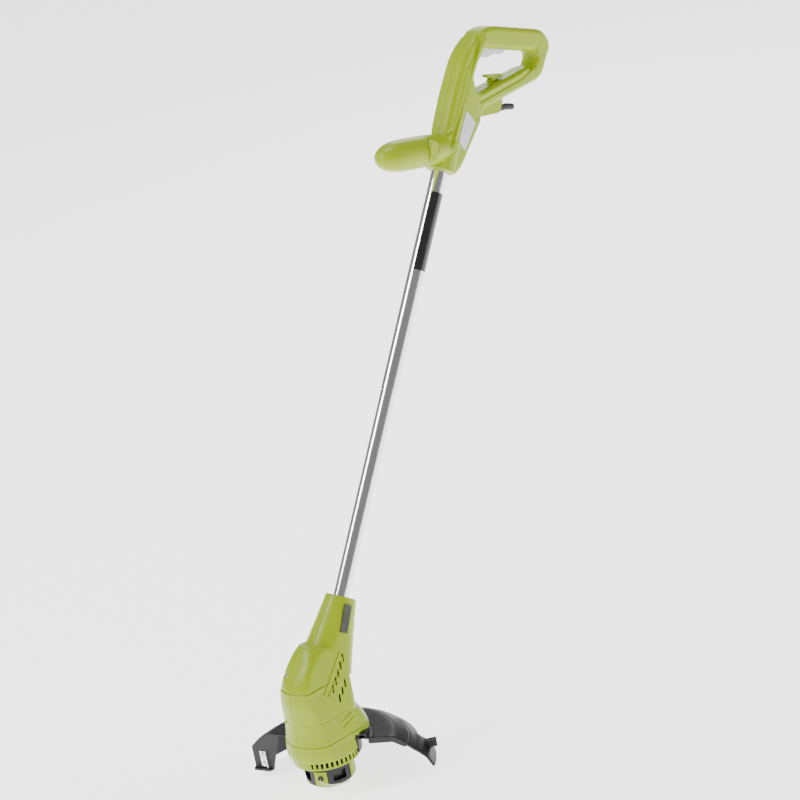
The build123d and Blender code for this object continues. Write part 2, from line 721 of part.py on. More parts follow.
def field_core():
    """The laminated stator: a ring with two pole shoes, front and rear."""
    high = STATOR_Z + STATOR_LENGTH
    core = pipe(STATOR_R, STATOR_R - 4, STATOR_Z, high)
    bore = ARMATURE_R + AIR_GAP
    for middle in (-90, 90):
        core += sector(bore, STATOR_R - 3, middle - 48, middle + 48, STATOR_Z, high)
    return core


def field_coils():
    """Two saddle windings whose legs lie beside the pole shoes."""
    coils = []
    low = STATOR_Z - 6
    high = STATOR_Z + STATOR_LENGTH + 5
    for middle in (-90, 90):
        loop = sector(ARMATURE_R + 1.6, STATOR_R - 4.2, middle - 76, middle + 76, low, high)
        window = sector(10, 40, middle - 50, middle + 50, STATOR_Z - 0.2, STATOR_Z + STATOR_LENGTH + 0.2)
        coils.append(loop - window)
    return coils


def motor_bracket():
    """The lower bracket: a disc on the casing's ledge with the bearing's cup and four posts."""
    disc = rod(RING_R - WALL - 0.1, BRACKET_Z, BRACKET_Z + 2.5)
    disc += rod(BEARING_R + 3, BRACKET_Z, BRACKET_Z + 2.5 + BEARING_WIDTH)
    disc -= rod(BEARING_R + 0.02, BRACKET_Z + 2.5, BRACKET_Z + 30)
    disc -= rod(SHAFT_R + 3, BRACKET_Z - 1, BRACKET_Z + 4)
    for quarter in range(4):
        angle = radians(quarter * 90 + 45)
        x, y = (STATOR_R - 2) * cos(angle), (STATOR_R - 2) * sin(angle)
        disc += rod(2.0, BRACKET_Z + 1, STATOR_Z, x, y)
    for hole in range(8):
        angle = radians(hole * 45 + 22.5)
        disc -= rod(5.5, BRACKET_Z - 1, BRACKET_Z + 4, 35 * cos(angle), 35 * sin(angle))
    return disc


def bearing(low):
    """A closed ball bearing: its outer race, shields and inner race as one ring."""
    ring = pipe(BEARING_R, SHAFT_R + RUNNING / 2, low, low + BEARING_WIDTH)
    groove = pipe(BEARING_R - 2, SHAFT_R + 2.2, low + BEARING_WIDTH - 0.5, low + BEARING_WIDTH + 1)
    return ring - groove


def upper_bearing_z():
    return BRUSH_PLATE_Z + 3


def brush_plate():
    """The upper bracket: a disc with the upper bearing's cup and feet onto the stator."""
    low = BRUSH_PLATE_Z
    plate = rod(30, low, low + 3) + rod(BEARING_R + 2.5, low, low + 3 + BEARING_WIDTH)
    plate -= rod(BEARING_R + 0.02, low + 3, low + 30)
    plate -= rod(SHAFT_R + 3, low - 1, low + 4)
    for quarter in range(4):
        angle = radians(quarter * 90 + 45)
        x, y = (STATOR_R - 2) * cos(angle), (STATOR_R - 2) * sin(angle)
        plate += rod(2.0, STATOR_Z + STATOR_LENGTH, low + 1, x, y)
    return plate


BRUSH_Z = 94.5


def brush_holders():
    holders = []
    for side in (-1, 1):
        sleeve = block(COMMUTATOR_R + 2.5, 27, -5, 5, BRUSH_Z - 4.5, BRUSH_PLATE_Z - 0.05)
        sleeve -= block(0, 25.5, -2.6, 2.6, BRUSH_Z - 3.1, BRUSH_Z + 3.1)
        holders.append(sleeve if side > 0 else mirror(sleeve, about=Plane.YZ))
    return holders


def carbon_brushes():
    brushes = []
    for side in (-1, 1):
        brush = block(COMMUTATOR_R - 1, 22, -2.5, 2.5, BRUSH_Z - 3, BRUSH_Z + 3)
        brush -= rod(COMMUTATOR_R + RUNNING, 80, 110)
        brushes.append(brush if side > 0 else mirror(brush, about=Plane.YZ))
    return brushes


# ---- rotor ----

SHAFT_LOW = DRUM_TOP - 22.0


def motor_shaft():
    return rod(SHAFT_R, SHAFT_LOW, upper_bearing_z() + BEARING_WIDTH - 0.5)


def armature_core():
    """The laminated armature with its winding slots."""
    core = pipe(ARMATURE_R, SHAFT_R + 0.02, STATOR_Z, STATOR_Z + STATOR_LENGTH)
    for index in range(12):
        core -= Rot(0, 0, index * 30) * block(ARMATURE_R - 5, ARMATURE_R + 2, -1.1, 1.1, 0, 200)
    return core


def armature_windings():
    """The end turns above and below the core."""
    low = STATOR_Z - 5
    high = STATOR_Z + STATOR_LENGTH
    ends = []
    for start, end in ((low, STATOR_Z - 0.02), (high + 0.02, high + 5)):
        ring = pipe(ARMATURE_R - 1.5, SHAFT_R + 1, start, end)
        ends.append(ring)
    return ends


def commutator():
    body = pipe(COMMUTATOR_R, SHAFT_R + 0.02, BRUSH_Z - 7, BRUSH_Z + 5)
    for index in range(12):
        body -= Rot(0, 0, index * 30 + 15) * block(COMMUTATOR_R - 0.8, COMMUTATOR_R + 1, -0.2, 0.2, 0, BRUSH_Z + 3.5)
    return body


def fan():
    """The cooling fan: a hub, a disc and curved-back blades."""
    low = 5.0
    wheel = rod(8, low, low + 10) + rod(FAN_R, low, low + 1.5)
    for index in range(FAN_BLADES):
        blade = Pos(21, 4, 0) * Rot(0, 0, 24) * block(-14.5, 14.5, -0.6, 0.6, low + 1, low + 9)
        wheel += Rot(0, 0, index * 360 / FAN_BLADES) * blade
    return wheel - rod(SHAFT_R + 0.02, low - 1, low + 12)


# ---- spool head ----

DRUM_LOW = DRUM_TOP - DRUM_HEIGHT
CAP_LOW = DRUM_LOW - CAP_HEIGHT
SPOOL_TOP = DRUM_TOP - 3 - BUMP_TRAVEL - 0.8
SPOOL_LOW = DRUM_LOW + 1.5
BOSS_R = 7.0


def arm_angles():
    return [ARM_ANGLE + index * 360 / ARM_COUNT for index in range(ARM_COUNT)]


def eyelet_bores(radius):
    bores = []
    for angle in (ARM_ANGLE, ARM_ANGLE + 180):
        bores.append(Rot(0, 0, angle) * Pos(20, 0, LINE_Z) * Rot(0, 90, 0) * rod(radius, 0, 30))
    return bores


def spool_drum():
    """The black housing that turns with the motor's shaft."""
    drum = rod(DRUM_R, DRUM_LOW, DRUM_TOP) - rod(DRUM_R - DRUM_WALL, DRUM_LOW - 1, DRUM_TOP - 2)
    drum += rod(BOSS_R, SHAFT_LOW, DRUM_TOP)
    drum -= rod(SHAFT_R + 0.02, SHAFT_LOW - 1, DRUM_TOP + 1)
    for angle in arm_angles():
        drum -= Rot(0, 0, angle + 45) * block(20, 40, -9, 9, DRUM_LOW + 6, DRUM_TOP - 9)
    for bore in eyelet_bores(3.05):
        drum -= bore
    return drum


def spool_cap():
    """The green cap whose arms clip up over the drum."""
    cap = rod(CAP_R, CAP_LOW, DRUM_LOW - 0.05) - rod(CAP_R - 3, CAP_LOW + 2, DRUM_LOW + 1)
    cap = chamfer(cap.edges().group_by(Axis.Z)[0], 1.5)
    cap -= rod(KNOB_R + GAP, CAP_LOW - 1, CAP_LOW + 3)
    for angle in arm_angles():
        cap += sector(DRUM_R + 0.05, CAP_R, angle - 15, angle + 15, DRUM_LOW - 1, DRUM_TOP - 6)
    for bore in eyelet_bores(3.05):
        cap -= bore
    return cap


def eyelets():
    rings = []
    for angle in (ARM_ANGLE, ARM_ANGLE + 180):
        ring = pipe(3.0, 1.6, DRUM_R - DRUM_WALL - 0.5, CAP_R + 0.4)
        ring += pipe(3.9, 1.6, CAP_R + 0.05, CAP_R + 0.9)
        rings.append(Rot(0, 0, angle) * Pos(0, 0, LINE_Z) * Rot(0, 90, 0) * ring)
    return rings


def line_spool():
    """The reel under the drum, lifted against the feed spring when the knob is bumped."""
    reel = rod(13.5, SPOOL_LOW, SPOOL_TOP)
    for low in (SPOOL_LOW, SPOOL_TOP - 1.2):
        reel += rod(29.5, low, low + 1.2)
    reel -= rod(BOSS_R + 0.35, SPOOL_LOW - 1, SPOOL_TOP + 1)
    return reel - rod(11.6, SPOOL_LOW + 8, SPOOL_TOP + 1)


def wound_line():
    return pipe(26, 13.55, SPOOL_LOW + 1.25, SPOOL_TOP - 1.25)


def feed_spring():
    low = SPOOL_LOW + 8.05
    return Pos(0, 0, low) * coil(9.6, 0.7, DRUM_TOP - 2.05 - low, 4)


def bump_knob():
    """The knob that is tapped on the ground, with a flange kept in by the cap."""
    flange_low = CAP_LOW + 2.1
    flange = rod(15.5, flange_low, SPOOL_LOW - 0.05)
    dome = rod(KNOB_R, CAP_LOW - KNOB_DROP, flange_low + 0.5)
    dome = fillet(dome.edges().group_by(Axis.Z)[0], 4.5)
    return flange + dome - rod(BOSS_R + 0.4, SPOOL_LOW - 2, SPOOL_LOW + 1)


LINE_STEPS = [(0, 0), (7.5, 0), (12.5, 5), (14, 13), (11.5, 22), (5.5, 31), (-3, 39)]
LINE_FALL = 0.16
LINE_START = DRUM_R - 1.5


def cutting_line():
    """The free end of the nylon line, out of its eyelet and curling round the drum."""
    points = []
    for out, along in LINE_STEPS:
        angle = atan2(along, LINE_START + out) + radians(ARM_ANGLE)
        reach = hypot(along, LINE_START + out)
        points.append((reach * cos(angle), reach * sin(angle), LINE_Z - LINE_FALL * along))
    return bent_rod("cutting_line", points, LINE_R)


# ---- guard ----

def guard_screw_spots():
    return [(54 * cos(radians(a)), 54 * sin(radians(a))) for a in (45, 90, 135)]


def revolved(corners, radii, start, end):
    """A radial profile (r, z) turned from one azimuth to another."""
    outline = FilletPolyline(*[(r, 0, z) for r, z in corners], radius=radii, close=True)
    form = revolve(make_face(outline), Axis.Z, end - start)
    return Rot(0, 0, start) * form


def guard():
    """The black fan-shaped guard with its collar, skirt, cutter bracket and left fin."""
    t = GUARD_WALL
    collar_r = RING_R + 0.4
    top = 21.0
    fan_profile = [
        (collar_r + 1, top), (95, top - 1), (111, 10), (GUARD_R, -4), (GUARD_R - t, -6),
        (110 - t, 7), (94, top - 1 - t), (collar_r + 1, top - t),
    ]
    form = revolved(fan_profile, [0.5, 20, 20, 1, 0.5, 20, 20, 0.5], GUARD_LEFT, GUARD_RIGHT)
    collar = sector(collar_r, collar_r + 3, GUARD_LEFT_SEAT + 2, GUARD_RIGHT_SEAT - 2, 5, LOBE_Z - 0.05)
    pad = sector(collar_r + 1, 61, 25, 155, LOBE_Z - 4, LOBE_Z - 0.05)
    web = sector(collar_r + 1, 61, 25, 155, top - 1, LOBE_Z - 3) - sector(collar_r + 3, 58, 20, 160, 0, LOBE_Z - 4)
    fin_profile = [
        (GUARD_R - 16, 9), (GUARD_R, -3), (137, -14), (144, -28), (140.5, -29),
        (133.5, -15), (GUARD_R - 3, -6), (GUARD_R - 17, 5),
    ]
    fin = revolved(fin_profile, [0.5, 8, 8, 0.5, 0.5, 8, 8, 0.5], GUARD_LEFT, GUARD_LEFT + 20)
    lug = sector(132, 147, GUARD_LEFT + 12, GUARD_LEFT + 17, -16, -7)
    skirt = sector(GUARD_R - 3, GUARD_R - 0.3, GUARD_RIGHT - 42, GUARD_RIGHT, -GUARD_SKIRT, -4.5)
    end_wall = sector(collar_r + 30, GUARD_R - 0.3, GUARD_RIGHT - 1.3, GUARD_RIGHT, -GUARD_SKIRT, 30)
    end_wall &= revolved(wall_profile(top), [1] * 6, GUARD_RIGHT - 5, GUARD_RIGHT + 5)
    left_rib = sector(60, 112, GUARD_LEFT, GUARD_LEFT + 1.6, -10, 30)
    left_rib &= revolved(rib_profile(top), [1] * 6, GUARD_LEFT - 5, GUARD_LEFT + 5)
    bridge = sector(CUTTER_R - 9, GUARD_R - 1, GUARD_RIGHT - 4, GUARD_RIGHT + 2.5, -GUARD_SKIRT, -GUARD_SKIRT + 4)
    body = form + collar + pad + web + fin + lug + skirt + end_wall + left_rib + bridge
    for x, y in guard_screw_spots():
        body -= rod(1.75, 10, LOBE_Z + 1, x, y)
    for place in cutter_screw_places():
        body -= place * rod(1.2, -5, 3)
    return body


def wall_profile(top):
    """The radial outline of the wall that closes the guard's right end."""
    outer = GUARD_R - 1
    return [(75, top - 1.4), (94, top - 2.2), (110, 9), (outer, -4.7), (outer, -GUARD_SKIRT), (96, -GUARD_SKIRT)]


def rib_profile(top):
    """The radial outline of the stiffening rib along the guard's left edge."""
    return [(60, top - 1.2), (93, top - 2.2), (112, 7), (108, 2), (92, 11), (60, 11)]


def cutter_frame():
    """The blade's own directions: x outward, y up, z out of the guard's end wall."""
    angle = radians(GUARD_RIGHT)
    outward = (cos(angle), sin(angle), 0)
    normal = (-sin(angle), cos(angle), 0)
    centre = (CUTTER_R * cos(angle), CUTTER_R * sin(angle), LINE_Z - 3)
    return Plane(centre, x_dir=outward, z_dir=normal).location


def cutter_screw_places():
    return [cutter_frame() * Pos(2, dy, 0) for dy in (-7, 7)]


def line_cutter():
    """The steel blade on the guard's right end, with a bent lip and two screw holes."""
    blade = block(-6, 6, -11.5, 11.5, 0.05, 1.05)
    blade += block(-6, -5, -11.5, 11.5, 1.0, 4.0)
    blade -= block(-8, -3.5, -1.5, 1.5, -1, 6)
    for dy in (-7, 7):
        blade -= rod(1.6, -1, 3, 2, dy)
    return cutter_frame() * blade


def cutter_screws():
    return [place * Pos(0, 0, 1.1) * screw(2.6, 1.3, 1.15, 2.2) for place in cutter_screw_places()]


def guard_screws():
    screws = []
    for x, y in guard_screw_spots():
        screws.append(Pos(x, y, LOBE_Z - 4.05) * Rot(180, 0, 0) * screw(3.2, 2.0, 1.4, 11))
    return screws


def save(place, shapes):
    """Write each named shape, moved from its working frame to the object's frame."""
    for name, shape in shapes.items():
        members = shape if isinstance(shape, list) else [shape]
        solids = [place * solid for member in members for solid in member.solids()]
        export_step(Compound(solids) if len(solids) > 1 else solids[0], f"parts/{name}.step")


os.makedirs("parts", exist_ok=True)
handle_left, handle_right = handle_halves()
head_left, head_right = head_halves()

save(HANDLE, {
    "handle_left": handle_left,
    "handle_right": handle_right,
    "handle_screws": handle_screws(),
    "side_panel_left": side_panel(1),
    "side_panel_right": side_panel(-1),
    "cord_hook": cord_hook(),
    "cord_boot": cord_boot(),
    "mains_lead": mains_lead(),
    "switched_lead": switched_lead(),
    "cord_clamp": cord_clamp(),
    "clamp_screws": clamp_screws(),
    "switch_body": switch_body(),
    "switch_plunger": switch_plunger(),
    "trigger": trigger(),
    "trigger_pin": trigger_pin(),
    "trigger_spring": trigger_spring(),
    "swivel_button": swivel_button(),
    "button_spring": button_spring(),
    "swivel_bush": swivel_bush(),
    "upper_tube": upper_tube(),
    "lower_tube": lower_tube(),
    "tube_screw": tube_screw(),
    "tube_decal": tube_decal(),
})
save(Pos(0, 0, 0), {"motor_lead": motor_lead()})
save(HEAD, {
    "head_left": head_left,
    "head_right": head_right,
    "casing_screws": casing_screws(),
    "head_badge": head_badge(),
    "vent_ring": vent_ring(),
    "motor_bracket": motor_bracket(),
    "lower_bearing": bearing(BRACKET_Z + 2.6),
    "upper_bearing": bearing(upper_bearing_z() + 0.05),
    "brush_plate": brush_plate(),
    "brush_holders": brush_holders(),
    "carbon_brushes": carbon_brushes(),
    "field_core": field_core(),
    "field_coils": field_coils(),
    "guard": guard(),
    "guard_screws": guard_screws(),
    "line_cutter": line_cutter(),
    "cutter_screws": cutter_screws(),
    "motor_shaft": motor_shaft(),
    "armature_core": armature_core(),
    "armature_windings": armature_windings(),
    "commutator": commutator(),
    "fan": fan(),
    "spool_drum": spool_drum(),
    "spool_cap": spool_cap(),
    "eyelets": eyelets(),
    "cutting_line": cutting_line(),
    "feed_spring": feed_spring(),
    "line_spool": line_spool(),
    "wound_line": wound_line(),
    "bump_knob": bump_knob(),
})
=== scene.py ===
import json
from math import cos, radians, sin
import bmesh
import bpy
import numpy as np
from mathutils import Matrix, Vector

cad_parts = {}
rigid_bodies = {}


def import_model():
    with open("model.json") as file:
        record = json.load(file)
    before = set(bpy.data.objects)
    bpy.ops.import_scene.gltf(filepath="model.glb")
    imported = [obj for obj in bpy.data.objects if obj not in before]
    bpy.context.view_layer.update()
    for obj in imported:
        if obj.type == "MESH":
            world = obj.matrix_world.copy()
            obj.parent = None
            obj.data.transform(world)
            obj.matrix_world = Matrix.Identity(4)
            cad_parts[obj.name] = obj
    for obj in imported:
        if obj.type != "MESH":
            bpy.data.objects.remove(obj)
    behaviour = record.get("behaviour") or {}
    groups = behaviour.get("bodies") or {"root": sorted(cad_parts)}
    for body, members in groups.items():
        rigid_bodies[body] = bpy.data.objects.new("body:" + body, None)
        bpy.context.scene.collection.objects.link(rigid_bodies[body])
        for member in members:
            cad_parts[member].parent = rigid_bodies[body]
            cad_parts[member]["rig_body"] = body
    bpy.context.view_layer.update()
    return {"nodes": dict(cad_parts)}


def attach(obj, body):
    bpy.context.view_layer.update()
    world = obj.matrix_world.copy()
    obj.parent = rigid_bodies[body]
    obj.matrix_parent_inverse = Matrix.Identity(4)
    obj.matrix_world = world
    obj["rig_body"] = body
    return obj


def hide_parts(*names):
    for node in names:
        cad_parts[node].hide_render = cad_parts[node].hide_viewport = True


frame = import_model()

scene = bpy.context.scene
MM = 0.001

# ---------------------------------------------------------------- frames of the part
LEAN = radians(35)
HANDLE_ORIGIN = np.array((0.0, -230.0526, -87.9535))
HEAD_ORIGIN = np.array((0.0, -651.8607, -766.6579))
TUBE_DIR = np.array((0.0, sin(LEAN), cos(LEAN)))
REAR_DIR = np.array((0.0, cos(LEAN), -sin(LEAN)))
AXIS_CROSSING = 76.3  # height above the head's origin where the tube's axis meets the spool's


def handle_frame(points):
    """Points in mm as x, distance rearward of the tube's axis and height up the tube."""
    local = points - HANDLE_ORIGIN
    return local[:, 0], local @ REAR_DIR, local @ TUBE_DIR


# ---------------------------------------------------------------- camera
AZIMUTH, ELEVATION, ROLL = radians(44.94), radians(19.74), radians(-10.99)
DISTANCE = 3.3
AIM_UP_TUBE = 0.4  # metres from the axes' crossing up the tube to the point aimed at
SHIFT_RIGHT, SHIFT_UP = 0.02106, 0.01343
LENS, SENSOR = 110.97, 36
back = Vector((sin(AZIMUTH) * cos(ELEVATION), -cos(AZIMUTH) * cos(ELEVATION), sin(ELEVATION)))
level = Vector((cos(AZIMUTH), sin(AZIMUTH), 0))
upright = back.cross(level)
right = level * cos(ROLL) + upright * sin(ROLL)
up = upright * cos(ROLL) - level * sin(ROLL)
aim = Vector(HEAD_ORIGIN) * MM + Vector((0, 0, AXIS_CROSSING * MM)) + Vector(TUBE_DIR) * AIM_UP_TUBE
camera = bpy.data.objects.new("camera", bpy.data.cameras.new("camera"))
scene.collection.objects.link(camera)
camera.data.lens = LENS
camera.data.sensor_width = SENSOR
camera.data.clip_end = 200
place = Matrix((right, up, back)).transposed().to_4x4()
place.translation = aim + back * DISTANCE + right * SHIFT_RIGHT + up * SHIFT_UP
camera.matrix_world = place
scene.camera = camera

# ---------------------------------------------------------------- the cutting line
LINE_START_R = 32.0
LINE_AZIMUTH = radians(-67)
LINE_Z = -17.5
LINE_DROP = 0.16  # fall for each mm along the line's sideways run
LINE_STEPS = [(0, 0), (7.5, 0), (12.5, 5), (14, 13), (11.5, 22), (5.5, 31), (-3, 39)]
outward = Vector((cos(LINE_AZIMUTH), sin(LINE_AZIMUTH), 0))
around = Vector((-sin(LINE_AZIMUTH), cos(LINE_AZIMUTH), 0))


def line_point(step):
    """One point of the line's route, in metres, from its steps outward and sideways."""
    out, along = step
    flat = outward * (LINE_START_R + out) + around * along
    return (Vector(HEAD_ORIGIN) + flat + Vector((0, 0, LINE_Z - LINE_DROP * along))) * MM


curve = bpy.data.curves.new("cutting_line_strand", "CURVE")
curve.dimensions = "3D"
curve.bevel_depth = 0.7
curve.bevel_resolution = 5
curve.use_fill_caps = True
curve.resolution_u = 16
strand = curve.splines.new("NURBS")
strand.points.add(len(LINE_STEPS) - 1)
for point, step in zip(strand.points, LINE_STEPS):
    point.co = (*line_point(step), 1)
    point.radius = 0.001
strand.order_u = 3
strand.use_endpoint_u = True
line_piece = bpy.data.objects.new("cutting_line_strand", curve)
scene.collection.objects.link(line_piece)
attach(line_piece, "shaft")
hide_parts("cutting_line")

# ---------------------------------------------------------------- materials


class Nodes:
    """A small helper that builds one material's node tree."""

    def __init__(self, name):
        self.material = bpy.data.materials.new(name)
        self.material.use_nodes = True
        self.tree = self.material.node_tree
        self.shader = self.tree.nodes["Principled BSDF"]
        self.coordinates = self.add("ShaderNodeTexCoord").outputs["Object"]

    def add(self, kind, **values):
        node = self.tree.nodes.new(kind)
        for key, value in values.items():
            setattr(node, key, value)
        return node

    def link(self, source, target):
        self.tree.links.new(source, target)

    def noise(self, scale, detail=3.0, stretch=None, turn=(0, 0, 0), offset=(0, 0, 0)):
        mapping = self.add("ShaderNodeMapping")
        mapping.inputs["Scale"].default_value = stretch or (1, 1, 1)
        mapping.inputs["Rotation"].default_value = turn
        mapping.inputs["Location"].default_value = offset
        self.link(self.coordinates, mapping.inputs["Vector"])
        noise = self.add("ShaderNodeTexNoise")
        noise.inputs["Scale"].default_value = scale
        noise.inputs["Detail"].default_value = detail
        self.link(mapping.outputs["Vector"], noise.inputs["Vector"])
        return noise.outputs["Fac"]

    def spread(self, source, low, high, start=0.3, end=0.7):
        node = self.add("ShaderNodeMapRange")
        node.inputs["From Min"].default_value = start
        node.inputs["From Max"].default_value = end
        node.inputs["To Min"].default_value = low
        node.inputs["To Max"].default_value = high
        self.link(source, node.inputs["Value"])
        return node.outputs["Result"]

    def mix(self, factor, first, second):
        node = self.add("ShaderNodeMix", data_type="RGBA")
        self.link(factor, node.inputs["Factor"])
        for value, name in ((first, "A"), (second, "B")):
            socket = [s for s in node.inputs if s.name == name and s.type == "RGBA"][0]
            if isinstance(value, tuple):
                socket.default_value = (*value, 1)
            else:
                self.link(value, socket)
        return [s for s in node.outputs if s.type == "RGBA"][0]

    def bump(self, height, strength, distance, below=None):
        node = self.add("ShaderNodeBump")
        node.inputs["Strength"].default_value = strength
        node.inputs["Distance"].default_value = distance
        self.link(height, node.inputs["Height"])
        if below is not None:
            self.link(below, node.inputs["Normal"])
        return node.outputs["Normal"]


def scaled(colour, factor):
    return tuple(min(1.0, c * factor) for c in colour)


def finish(name, colour, rough, metallic=0.0, grain=900, depth=0.00004, mottle=0.06,
           wear=0.35, coat=0.0, stretch=None, turn=(0, 0, 0), specular=0.5, spread=0.08):
    """A procedural finish: colour drift, edge wear, painted shade in the dips, uneven gloss and a fine
    grain.
    """
    n = Nodes(name)
    n.shader.inputs["Metallic"].default_value = metallic
    n.shader.inputs["Specular IOR Level"].default_value = specular
    n.shader.inputs["Coat Weight"].default_value = coat
    n.shader.inputs["Coat Roughness"].default_value = 0.12
    drift = n.spread(n.noise(14, 4), 0.0, 1.0)
    base = n.mix(drift, scaled(colour, 1 - mottle), scaled(colour, 1 + mottle))
    point = n.add("ShaderNodeNewGeometry").outputs["Pointiness"]
    edge = n.spread(point, 0.0, wear, 0.515, 0.60)
    worn = n.add("ShaderNodeMath", operation="MULTIPLY")
    n.link(edge, worn.inputs[0])
    n.link(n.spread(n.noise(60, 5, offset=(3, 1, 2)), 0.3, 1.0), worn.inputs[1])
    base = n.mix(worn.outputs[0], base, scaled(tuple(c * 0.8 + 0.12 for c in colour), 1.15))
    # Painted shade: the colour is darkened towards 0.55 of itself where the surface dips inward.
    painted_dip_shade = n.spread(point, 0.35, 0.0, 0.42, 0.495)
    base = n.mix(painted_dip_shade, base, scaled(colour, 0.55))
    n.link(base, n.shader.inputs["Base Color"])
    gloss = n.spread(n.noise(45, 5, stretch, turn), rough - spread, rough + spread)
    n.link(gloss, n.shader.inputs["Roughness"])
    fine = n.bump(n.noise(grain, 2, stretch, turn), 0.6, depth)
    wave = n.bump(n.noise(38, 2, offset=(5, 5, 5)), 0.25, 0.0003, fine)
    n.link(wave, n.shader.inputs["Normal"])
    return n.material


LIME = (0.285, 0.385, 0.0)
ALONG_TUBE = (-LEAN, 0, 0)
finishes = {
    "lime_plastic": finish("lime_plastic", LIME, 0.36, grain=1500, depth=0.00003, mottle=0.03, wear=0.12,
                           specular=0.28),
    "black_plastic": finish("black_plastic", (0.006, 0.006, 0.007), 0.42, grain=1100, depth=0.0002,
                            mottle=0.2, wear=0.05, specular=0.35),
    "grey_inlay": finish("grey_inlay", (0.58, 0.56, 0.66), 0.38, mottle=0.03, coat=0.1),
    "trigger_plastic": finish("trigger_plastic", (0.62, 0.61, 0.70), 0.3, mottle=0.03, coat=0.15),
    "tube_metal": finish("tube_metal", (0.80, 0.80, 0.82), 0.17, metallic=1.0, grain=260, depth=0.00001,
                         mottle=0.02, stretch=(9, 9, 0.12), turn=ALONG_TUBE, wear=0.1, spread=0.05),
    "decal_film": finish("decal_film", (0.012, 0.012, 0.013), 0.22, mottle=0.1, wear=0.2, depth=0.00001,
                         coat=0.3),
    "badge_plate": finish("badge_plate", (0.030, 0.034, 0.018), 0.25, mottle=0.15, wear=0.3, coat=0.3),
    "boot_rubber": finish("boot_rubber", (0.014, 0.014, 0.015), 0.62, grain=1300, depth=0.0001, mottle=0.2),
    "lead_rubber": finish("lead_rubber", (0.02, 0.02, 0.02), 0.6, mottle=0.2),
    "steel": finish("steel", (0.60, 0.60, 0.62), 0.3, metallic=1.0, grain=500, mottle=0.08,
                    stretch=(4, 1, 1)),
    "blade_steel": finish("blade_steel", (0.66, 0.67, 0.69), 0.24, metallic=1.0, grain=700, mottle=0.06,
                          stretch=(0.4, 0.4, 6)),
    "spring_steel": finish("spring_steel", (0.42, 0.42, 0.45), 0.32, metallic=1.0, mottle=0.1),
    "laminations": finish("laminations", (0.28, 0.28, 0.30), 0.45, metallic=0.9, grain=900, depth=0.0002,
                          stretch=(0.3, 0.3, 9), mottle=0.1),
    "copper": finish("copper", (0.70, 0.30, 0.13), 0.28, metallic=1.0, grain=800, depth=0.0003,
                     stretch=(0.5, 0.5, 7), mottle=0.12),
    "brass": finish("brass", (0.78, 0.58, 0.25), 0.25, metallic=1.0, mottle=0.08),
    "carbon": finish("carbon", (0.03, 0.03, 0.032), 0.7, mottle=0.2),
    "nylon_line": finish("nylon_line", (0.80, 0.81, 0.72), 0.28, mottle=0.04, grain=1500),
    "bush_plastic": finish("bush_plastic", (0.74, 0.73, 0.68), 0.4, mottle=0.04),
}
node_finish = {
    "lime_plastic": ("handle_left handle_right cord_hook swivel_button head_left head_right vent_ring "
                     "spool_cap"),
    "black_plastic": ("bump_knob cord_clamp switch_body switch_plunger motor_bracket brush_plate fan guard "
                      "spool_drum line_spool eyelets"),
    "grey_inlay": "side_panel_left side_panel_right",
    "trigger_plastic": "trigger",
    "tube_metal": "upper_tube lower_tube",
    "decal_film": "tube_decal",
    "badge_plate": "head_badge",
    "boot_rubber": "cord_boot",
    # wound_line takes the dark rubber finish as painted shade: the pale nylon line seen in the drum's
    # windows is shown dark as shade.
    "lead_rubber": "wound_line mains_lead switched_lead motor_lead",
    "steel": ("handle_screws clamp_screws trigger_pin tube_screw casing_screws lower_bearing upper_bearing "
              "guard_screws cutter_screws motor_shaft"),
    "blade_steel": "line_cutter",
    "spring_steel": "trigger_spring button_spring feed_spring",
    "laminations": "field_core armature_core",
    "copper": "field_coils armature_windings commutator",
    "brass": "brush_holders",
    "carbon": "carbon_brushes",
    "nylon_line": "cutting_line",
    "bush_plastic": "swivel_bush",
}


def paint(obj, *names):
    """Gives obj these finishes as its material slots."""
    materials = obj.data.materials
    while len(materials) > len(names):
        materials.pop()
    for index, name in enumerate(names):
        if index < len(materials):
            materials[index] = finishes[name]
        else:
            materials.append(finishes[name])


for name, members in node_finish.items():
    for member in members.split():
        paint(frame["nodes"][member], name)
paint(line_piece, "nylon_line")

# ---------------------------------------------------------------- moulded forms


def soften(node, voxel, passes, shape=None, spine_side=None):
    """The node's form with moulded edges: remeshed fine, smoothed and then shaped point by point."""
    cad = frame["nodes"][node]
    rough = bpy.data.objects.new(node + "_form", cad.data.copy())
    scene.collection.objects.link(rough)
    work = bmesh.new()
    work.from_mesh(rough.data)
    bmesh.ops.remove_doubles(work, verts=work.verts, dist=1e-6)
    if spine_side is not None:
        spine_volume(work, spine_side)
    work.to_mesh(rough.data)
    work.free()
    remesh = rough.modifiers.new("voxels", "REMESH")
    remesh.mode = "VOXEL"
    remesh.voxel_size = voxel * MM
    smooth = rough.modifiers.new("smooth", "SMOOTH")
    smooth.factor = 0.5
    smooth.iterations = passes
    bpy.context.view_layer.update()
    graph = bpy.context.evaluated_depsgraph_get()
    mesh = bpy.data.meshes.new_from_object(rough.evaluated_get(graph))
    rough.modifiers.clear()
    rough.data = mesh
    if shape is not None:
        count = len(mesh.vertices)
        points = np.zeros(count * 3)
        mesh.vertices.foreach_get("co", points)
        points = points.reshape(-1, 3)
        normals = np.zeros(count * 3)
        mesh.vertex_normals.foreach_get("vector", normals)
        points = shape(points / MM, normals.reshape(-1, 3)) * MM
        mesh.vertices.foreach_set("co", points.ravel())
        mesh.update()
    mesh.shade_smooth()
    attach(rough, cad["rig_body"])
    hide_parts(node)
    for slot, members in node_finish.items():
        if node in members.split():
            paint(rough, slot)


def ramp(value, start, end):
    """0 before start, 1 after end, smooth between them."""
    share = np.clip((value - start) / (end - start), 0, 1)
    return share * share * (3 - 2 * share)


